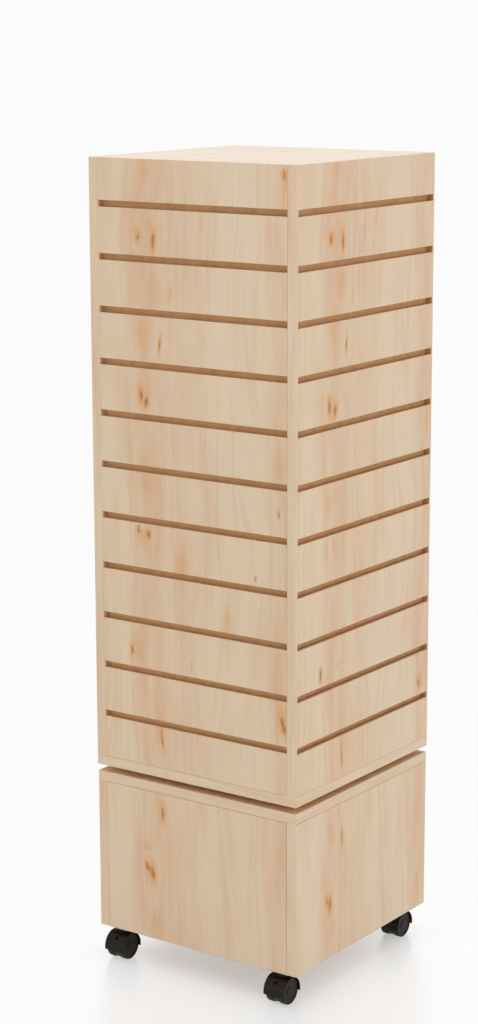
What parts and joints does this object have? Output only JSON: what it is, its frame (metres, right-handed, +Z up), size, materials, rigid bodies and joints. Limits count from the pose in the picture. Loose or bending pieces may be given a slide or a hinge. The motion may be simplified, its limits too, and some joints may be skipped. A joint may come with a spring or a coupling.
{
  "type": "rotating slatwall display rack",
  "caption": "Square slatwall display tower that turns on a flat ball bearing over a low cabinet base with hooded twin-wheel swivel casters.",
  "frame": {"origin": "on the floor, under the middle of the rack and on the tower's turning axis", "axes": "+Z up along the turning axis, -Y towards the front face (the left face in the picture), +X towards the right side"},
  "size_m": [0.362, 0.3798, 1.219],
  "materials": {
    "board_laminate": "satin maple laminate",
    "slat_board": "satin maple laminate, raw brown fibreboard in the grooves",
    "edge_band": "satin maple edge band",
    "pine_batten": "planed pine",
    "beech_dowel": "fluted beech",
    "zinc_screw": "zinc plated",
    "bearing_sheet": "pressed zinc plated sheet",
    "ball_steel": "polished",
    "cage_brass": "punched sheet",
    "caster_plate_steel": "zinc plated",
    "pin_steel": "turned",
    "caster_housing": "moulded black nylon",
    "caster_wheel": "moulded black nylon"
  },
  "bodies": {
    "base": {"base_front_panel": "board_laminate", "base_back_panel": "board_laminate", "base_left_panel": "board_laminate", "base_right_panel": "board_laminate", "base_edge_bands": "edge_band", "base_bottom_panel": "board_laminate", "base_corner_blocks": "pine_batten", "base_bottom_screws": "zinc_screw", "base_dowels": "beech_dowel", "base_top_plate": "board_laminate", "base_top_plate_bands": "edge_band", "bearing_lower_plate": "bearing_sheet", "bearing_lower_screws": "zinc_screw", "caster_screws": "zinc_screw", "front_left_caster_plate": "caster_plate_steel", "front_left_kingpin": "pin_steel", "front_right_caster_plate": "caster_plate_steel", "front_right_kingpin": "pin_steel", "back_left_caster_plate": "caster_plate_steel", "back_left_kingpin": "pin_steel", "back_right_caster_plate": "caster_plate_steel", "back_right_kingpin": "pin_steel"},
    "ball_ring": {"bearing_ball_cage": "cage_brass", "bearing_balls": "ball_steel"},
    "tower": {"bearing_upper_plate": "bearing_sheet", "bearing_upper_screws": "zinc_screw", "tower_bottom_plate": "board_laminate", "tower_bottom_plate_bands": "edge_band", "tower_bottom_screws": "zinc_screw", "tower_corner_battens": "pine_batten", "tower_top_cleats": "pine_batten", "tower_top_panel": "board_laminate", "slatwall_front": "slat_board", "slatwall_back": "slat_board", "slatwall_left": "slat_board", "slatwall_right": "slat_board", "slatwall_edge_bands": "edge_band"},
    "front_left_swivel": {"front_left_housing": "caster_housing", "front_left_axle": "pin_steel"},
    "front_left_roller_left": {"front_left_wheel_left": "caster_wheel"},
    "front_left_roller_right": {"front_left_wheel_right": "caster_wheel"},
    "front_right_swivel": {"front_right_housing": "caster_housing", "front_right_axle": "pin_steel"},
    "front_right_roller_left": {"front_right_wheel_left": "caster_wheel"},
    "front_right_roller_right": {"front_right_wheel_right": "caster_wheel"},
    "back_left_swivel": {"back_left_housing": "caster_housing", "back_left_axle": "pin_steel"},
    "back_left_roller_left": {"back_left_wheel_left": "caster_wheel"},
    "back_left_roller_right": {"back_left_wheel_right": "caster_wheel"},
    "back_right_swivel": {"back_right_housing": "caster_housing", "back_right_axle": "pin_steel"},
    "back_right_roller_left": {"back_right_wheel_left": "caster_wheel"},
    "back_right_roller_right": {"back_right_wheel_right": "caster_wheel"}
  },
  "joints": [
    {"name": "tower_spin", "type": "hinge", "parent": "base", "child": "tower", "pos_m": [0, 0, 0.303], "axis": [0, 0, 1], "continuous": true},
    {"name": "ball_ring_spin", "type": "hinge", "parent": "base", "child": "ball_ring", "pos_m": [0, 0, 0.303], "axis": [0, 0, 1], "continuous": true},
    {"name": "front_left_swivel_turn", "type": "hinge", "parent": "base", "child": "front_left_swivel", "pos_m": [-0.148, -0.158, 0.05], "axis": [0, 0, 1], "continuous": true},
    {"name": "front_left_wheel_left_roll", "type": "hinge", "parent": "front_left_swivel", "child": "front_left_roller_left", "pos_m": [-0.1586, -0.168, 0.02], "axis": [1, 0, 0], "continuous": true},
    {"name": "front_left_wheel_right_roll", "type": "hinge", "parent": "front_left_swivel", "child": "front_left_roller_right", "pos_m": [-0.1374, -0.168, 0.02], "axis": [1, 0, 0], "continuous": true},
    {"name": "front_right_swivel_turn", "type": "hinge", "parent": "base", "child": "front_right_swivel", "pos_m": [0.148, -0.158, 0.05], "axis": [0, 0, 1], "continuous": true},
    {"name": "front_right_wheel_left_roll", "type": "hinge", "parent": "front_right_swivel", "child": "front_right_roller_left", "pos_m": [0.1374, -0.168, 0.02], "axis": [1, 0, 0], "continuous": true},
    {"name": "front_right_wheel_right_roll", "type": "hinge", "parent": "front_right_swivel", "child": "front_right_roller_right", "pos_m": [0.1586, -0.168, 0.02], "axis": [1, 0, 0], "continuous": true},
    {"name": "back_left_swivel_turn", "type": "hinge", "parent": "base", "child": "back_left_swivel", "pos_m": [-0.148, 0.158, 0.05], "axis": [0, 0, 1], "continuous": true},
    {"name": "back_left_wheel_left_roll", "type": "hinge", "parent": "back_left_swivel", "child": "back_left_roller_left", "pos_m": [-0.1374, 0.168, 0.02], "axis": [1, 0, 0], "continuous": true},
    {"name": "back_left_wheel_right_roll", "type": "hinge", "parent": "back_left_swivel", "child": "back_left_roller_right", "pos_m": [-0.1586, 0.168, 0.02], "axis": [1, 0, 0], "continuous": true},
    {"name": "back_right_swivel_turn", "type": "hinge", "parent": "base", "child": "back_right_swivel", "pos_m": [0.148, 0.158, 0.05], "axis": [0, 0, 1], "continuous": true},
    {"name": "back_right_wheel_left_roll", "type": "hinge", "parent": "back_right_swivel", "child": "back_right_roller_left", "pos_m": [0.1374, 0.148, 0.02], "axis": [1, 0, 0], "continuous": true},
    {"name": "back_right_wheel_right_roll", "type": "hinge", "parent": "back_right_swivel", "child": "back_right_roller_right", "pos_m": [0.1586, 0.148, 0.02], "axis": [1, 0, 0], "continuous": true}
  ],
  "couplings": [
    {"joint": "ball_ring_spin", "follows": "tower_spin", "ratio": 0.5}
  ]
}
